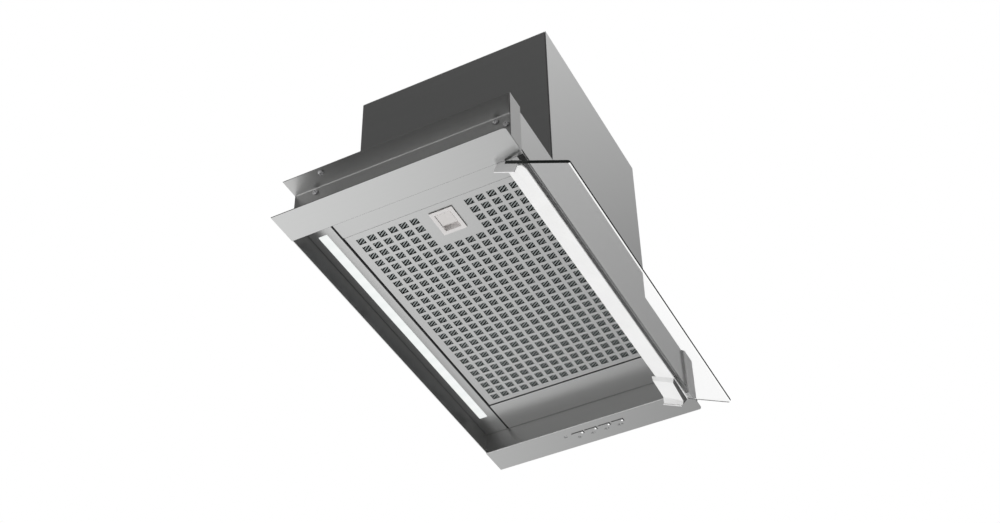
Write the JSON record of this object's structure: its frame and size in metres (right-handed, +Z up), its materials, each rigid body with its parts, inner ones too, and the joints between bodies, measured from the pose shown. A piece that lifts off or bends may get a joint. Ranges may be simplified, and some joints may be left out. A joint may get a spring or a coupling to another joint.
{
  "type": "under cabinet range hood",
  "caption": "Slide-under range hood with a folding glass visor, latched grease filter, light strip, push buttons, blower and a round duct spigot on top.",
  "frame": {"origin": "on the top plate behind the duct box, at mid width, in the plane that meets the cabinet floor", "axes": "+Z up, +Y towards the wall, +X towards the end with the push buttons"},
  "size_m": [0.54, 0.3325, 0.3624],
  "materials": {
    "steel": "fine brushed grain, satin",
    "galvanised": "plain zinc-coated sheet, dull",
    "filter_mesh": "slanted expanded mesh",
    "screws": "bright plated",
    "white_plastic": "white, light gloss",
    "latch_plastic": "warm off-white, light gloss",
    "black_plastic": "fine grain",
    "grey_plastic": "fine grain",
    "lamp": "milky diffuser",
    "board": "solder mask",
    "glass": "clear float glass, polished edges"
  },
  "bodies": {
    "casing": {"front_panel": "steel", "left_end_panel": "steel", "right_end_panel": "steel", "back_panel": "steel", "left_trim": "steel", "right_trim": "steel", "ceiling_strip_left": "steel", "ceiling_strip_right": "steel", "light_channel": "steel", "duct_box_left_side": "steel", "duct_box_right_side": "steel", "duct_box_back": "steel", "duct_box_top": "steel", "top_plate": "galvanised", "led_housing": "galvanised", "scroll_wrap": "galvanised", "scroll_side_left": "galvanised", "scroll_side_right": "galvanised", "motor_body": "galvanised", "motor_bracket": "galvanised", "screw_left_rear": "screws", "screw_left_front": "screws", "screw_left_low": "screws", "screw_left_flange": "screws", "screw_right_rear": "screws", "screw_right_front": "screws", "screw_right_low": "screws", "screw_right_flange": "screws", "indicator_lens": "latch_plastic", "ceiling_strip_front": "black_plastic", "control_housing": "black_plastic", "led_driver": "black_plastic", "cable_gland": "black_plastic", "capacitor": "black_plastic", "duct_spigot": "black_plastic", "terminal_box": "grey_plastic", "led_diffuser": "lamp", "led_board": "board", "control_board": "board"},
    "visor": {"visor_glass": "glass", "visor_rail": "white_plastic", "visor_arm_left": "white_plastic", "visor_arm_right": "white_plastic", "pivot_pin_left": "screws", "pivot_pin_right": "screws", "damper_cover": "white_plastic", "visor_damper": "black_plastic"},
    "filter": {"filter_face": "steel", "filter_mesh": "filter_mesh", "latch_housing": "latch_plastic"},
    "latch": {"latch_slider": "latch_plastic"},
    "impeller": {"impeller": "black_plastic", "motor_shaft": "galvanised"},
    "flap_front": {"damper_flap_front": "black_plastic"},
    "flap_rear": {"damper_flap_rear": "black_plastic"},
    "key_1": {"button_1": "steel"},
    "key_2": {"button_2": "steel"},
    "key_3": {"button_3": "steel"},
    "key_4": {"button_4": "steel"}
  },
  "joints": [
    {"name": "visor_fold", "type": "hinge", "parent": "casing", "child": "visor", "pos_m": [0, -0.24684, -0.06151], "axis": [1, 0, 0], "range_deg": [0, 154.5]},
    {"name": "filter_drop", "type": "hinge", "parent": "casing", "child": "filter", "pos_m": [0.1726, -0.1275, -0.035], "axis": [0, 1, 0], "range_deg": [-70, 0]},
    {"name": "latch_slide", "type": "slide", "parent": "filter", "child": "latch", "axis": [1, 0, 0], "range_m": [0, 0.0055], "stiffness_N_per_m": 250, "springref_m": -0.003},
    {"name": "impeller_spin", "type": "hinge", "parent": "casing", "child": "impeller", "pos_m": [-0.01595, -0.108, 0.0905], "axis": [1, 0, 0], "continuous": true},
    {"name": "flap_front_swing", "type": "hinge", "parent": "casing", "child": "flap_front", "pos_m": [-0.01595, -0.1414, 0.2325], "axis": [-1, 0, 0], "range_deg": [0, 76]},
    {"name": "flap_rear_swing", "type": "hinge", "parent": "casing", "child": "flap_rear", "pos_m": [-0.01595, -0.1366, 0.2325], "axis": [1, 0, 0], "range_deg": [0, 76]},
    {"name": "key_1_press", "type": "slide", "parent": "casing", "child": "key_1", "axis": [0, 0, 1], "range_m": [0, 0.002], "stiffness_N_per_m": 300, "springref_m": -0.002},
    {"name": "key_2_press", "type": "slide", "parent": "casing", "child": "key_2", "axis": [0, 0, 1], "range_m": [0, 0.002], "stiffness_N_per_m": 300, "springref_m": -0.002},
    {"name": "key_3_press", "type": "slide", "parent": "casing", "child": "key_3", "axis": [0, 0, 1], "range_m": [0, 0.002], "stiffness_N_per_m": 300, "springref_m": -0.002},
    {"name": "key_4_press", "type": "slide", "parent": "casing", "child": "key_4", "axis": [0, 0, 1], "range_m": [0, 0.002], "stiffness_N_per_m": 300, "springref_m": -0.002}
  ]
}
